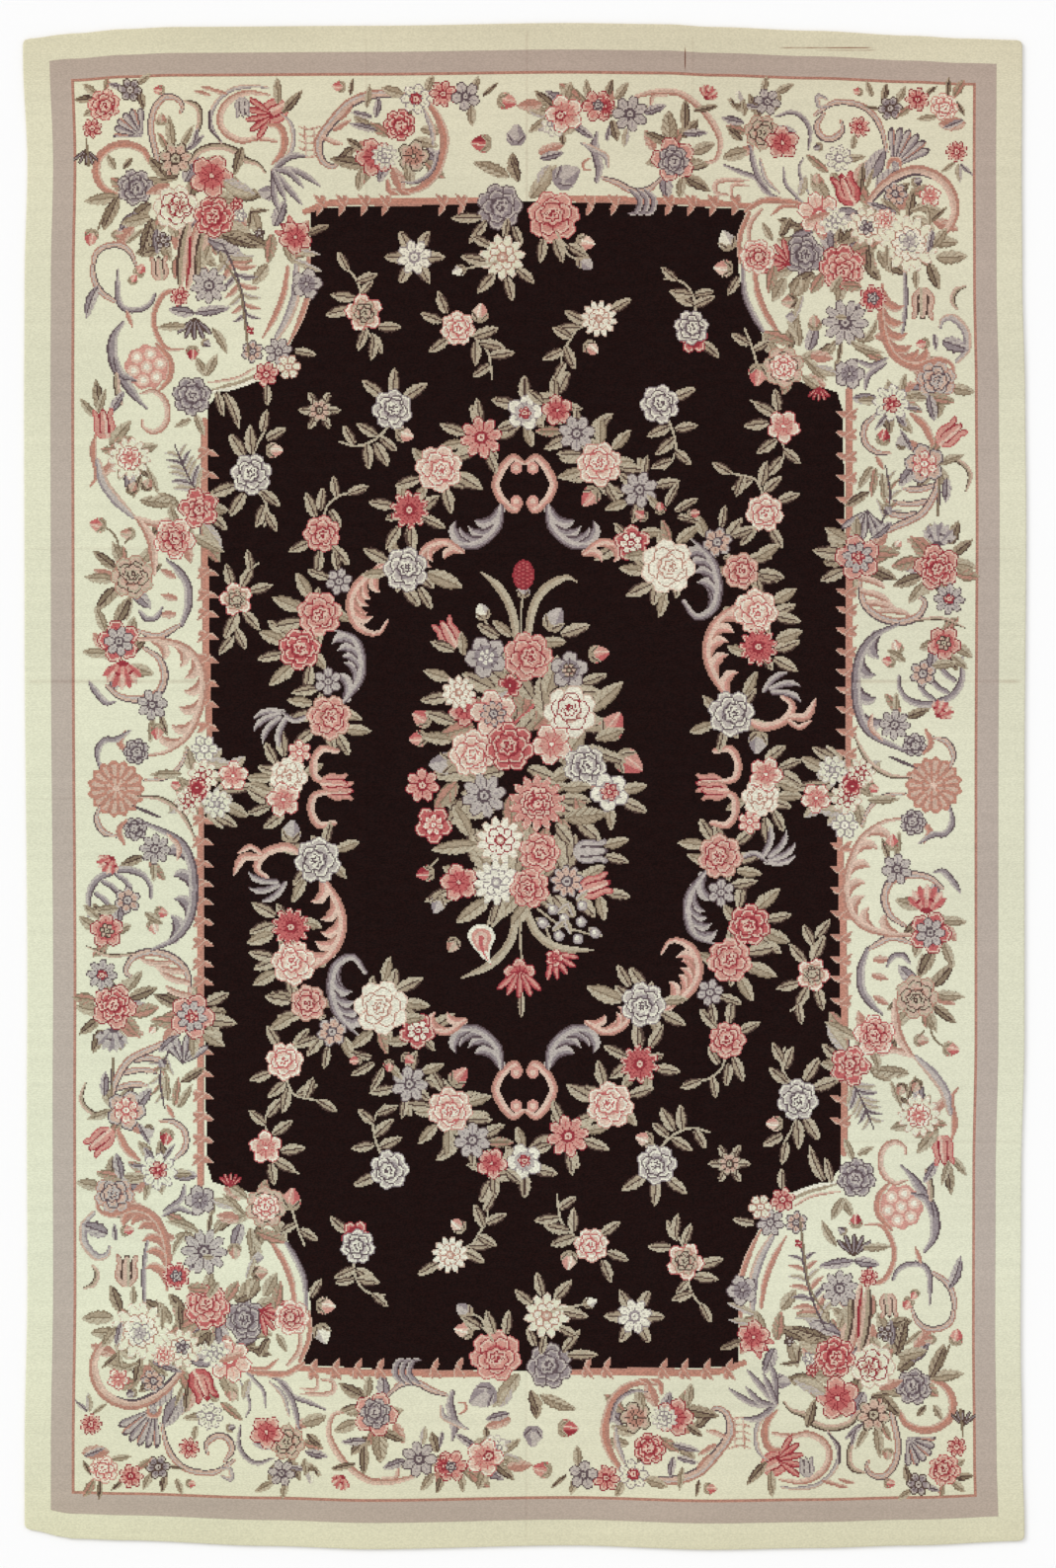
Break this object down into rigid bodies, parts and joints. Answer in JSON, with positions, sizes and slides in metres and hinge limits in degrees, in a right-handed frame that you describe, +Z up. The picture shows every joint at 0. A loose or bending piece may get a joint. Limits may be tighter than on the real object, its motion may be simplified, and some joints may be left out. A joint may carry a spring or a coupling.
{
  "type": "aubusson rug",
  "caption": "Flat rectangular wool rug with a floral bouquet and wreath on a dark sprigged field, inside a wide flowered ivory border.",
  "frame": {"origin": "middle of the rug's outline on the floor, under its flat underside", "axes": "+X across the rug's width, +Y along its length towards the end at the top of the picture, +Z up from the floor through the patterned face"},
  "size_m": [1.806, 2.7498, 0.0084],
  "materials": {
    "wool": "matte wool stitches"
  },
  "bodies": {
    "root": {"rug": "wool"}
  },
  "joints": []
}
